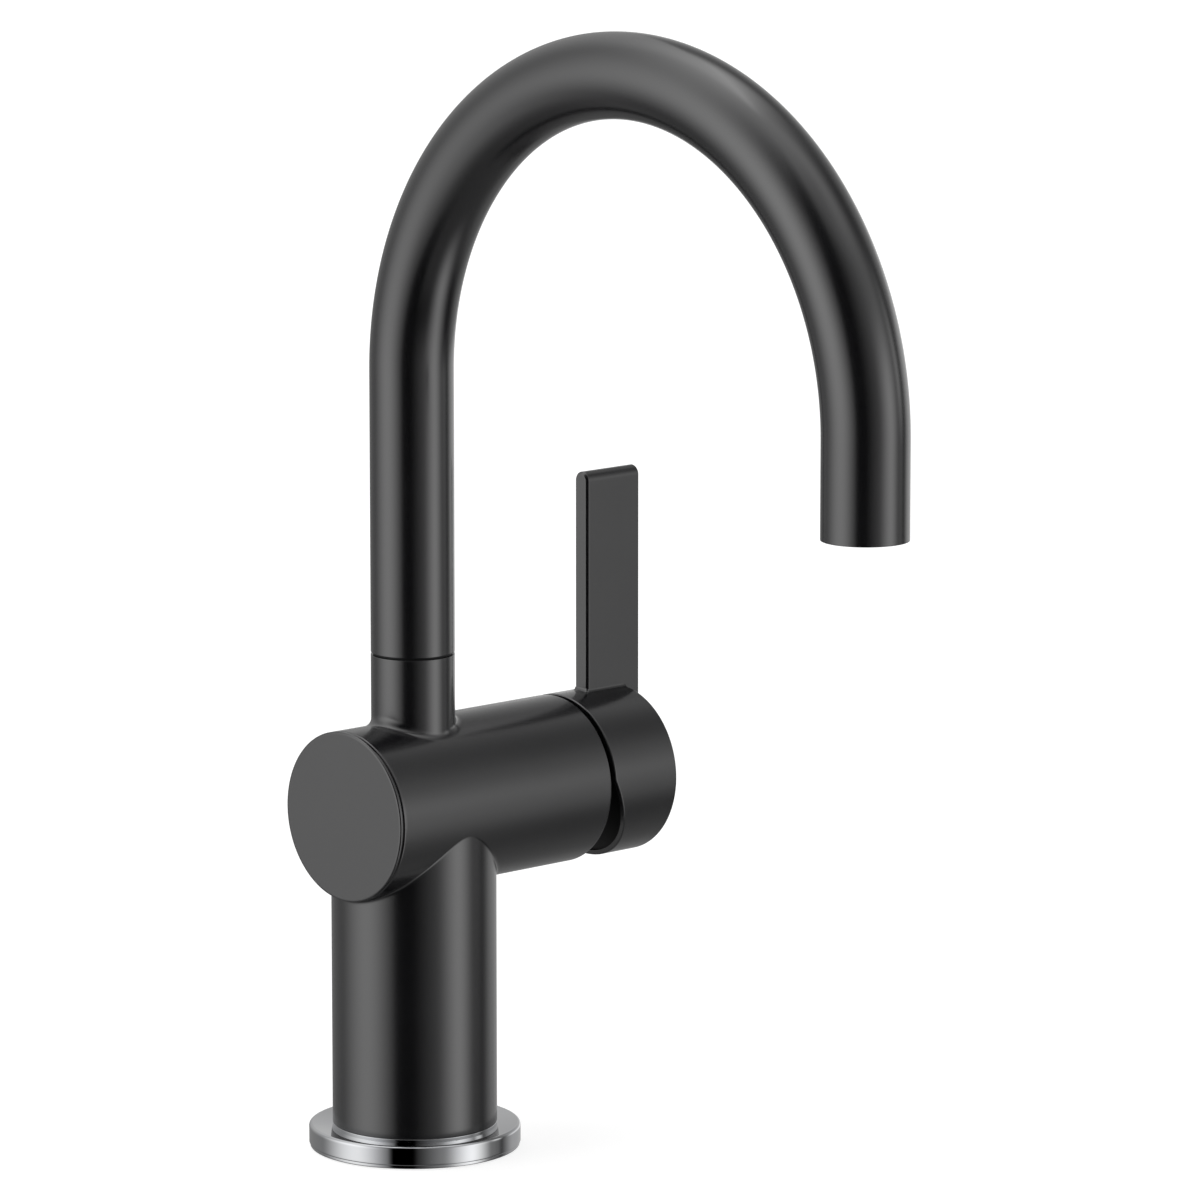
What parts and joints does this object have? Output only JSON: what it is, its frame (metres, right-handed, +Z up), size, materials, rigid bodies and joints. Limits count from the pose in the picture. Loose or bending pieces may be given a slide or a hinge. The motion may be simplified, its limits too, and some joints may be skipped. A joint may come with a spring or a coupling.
{
  "type": "gooseneck bar faucet",
  "caption": "Single-lever gooseneck bar tap: round post on a bright foot ring, valve barrel across it with a flat upright lever at its end, and a slim arched spout that swivels.",
  "frame": {"origin": "centre of the foot, in the plane of the deck that the tap stands on", "axes": "+Z up, the spout reaches towards -Y, the lever's hub is on +X"},
  "size_m": [0.11, 0.2088, 0.3068],
  "materials": {
    "matt_black": "matt black powder coat with a soft sheen",
    "chrome": "polished chrome plate",
    "brass": "machined brass",
    "stainless": "turned stainless steel",
    "rubber": "moulded nitrile rubber",
    "acetal": "moulded white acetal",
    "black_plastic": "moulded black acetal",
    "grey_plastic": "moulded grey plastic",
    "ceramic": "lapped alumina"
  },
  "bodies": {
    "root": {"base_ring": "chrome", "base_gasket": "rubber", "shank_adapter": "brass", "faucet_body": "matt_black", "hot_inlet_fitting": "brass", "cold_inlet_fitting": "brass", "hot_inlet_o_ring": "rubber", "cold_inlet_o_ring": "rubber", "end_cap": "matt_black", "end_cap_o_ring": "rubber", "cartridge_base": "grey_plastic", "hot_port_seal": "rubber", "cold_port_seal": "rubber", "outlet_port_seal": "rubber", "fixed_ceramic_disc": "ceramic", "cartridge_housing": "grey_plastic", "retaining_nut": "brass", "bonnet": "matt_black", "swivel_glide_ring": "black_plastic", "spout_keeper_screw": "stainless"},
    "guide": {"lever_guide": "acetal", "lever_pivot_pin": "stainless"},
    "lever": {"control_stem": "brass", "handle": "matt_black", "handle_grub_screw": "stainless"},
    "disc": {"moving_ceramic_disc": "ceramic", "disc_carrier": "acetal"},
    "spout": {"spout_tube": "matt_black", "swivel_sleeve": "brass", "lower_swivel_o_ring": "rubber", "upper_swivel_o_ring": "rubber", "outlet_ferrule": "brass", "aerator_housing": "chrome", "aerator_screen": "acetal", "aerator_jet_plate": "black_plastic", "aerator_washer": "rubber"}
  },
  "joints": [
    {"name": "lever_turn", "type": "hinge", "parent": "root", "child": "guide", "pos_m": [0.044, 0, 0.0935], "axis": [1, 0, 0], "range_deg": [-45, 45]},
    {"name": "lever_tilt", "type": "hinge", "parent": "guide", "child": "lever", "pos_m": [0.044, 0, 0.0935], "axis": [0, 1, 0], "range_deg": [0, 22]},
    {"name": "disc_slide", "type": "slide", "parent": "guide", "child": "disc", "axis": [0, 0, 1], "range_m": [0, 0.006]},
    {"name": "spout_swivel", "type": "hinge", "parent": "root", "child": "spout", "pos_m": [0, 0, 0.1345], "axis": [0, 0, 1], "continuous": true}
  ],
  "couplings": [
    {"joint": "disc_slide", "follows": "lever_tilt", "m_per_rad": 0.01561}
  ]
}
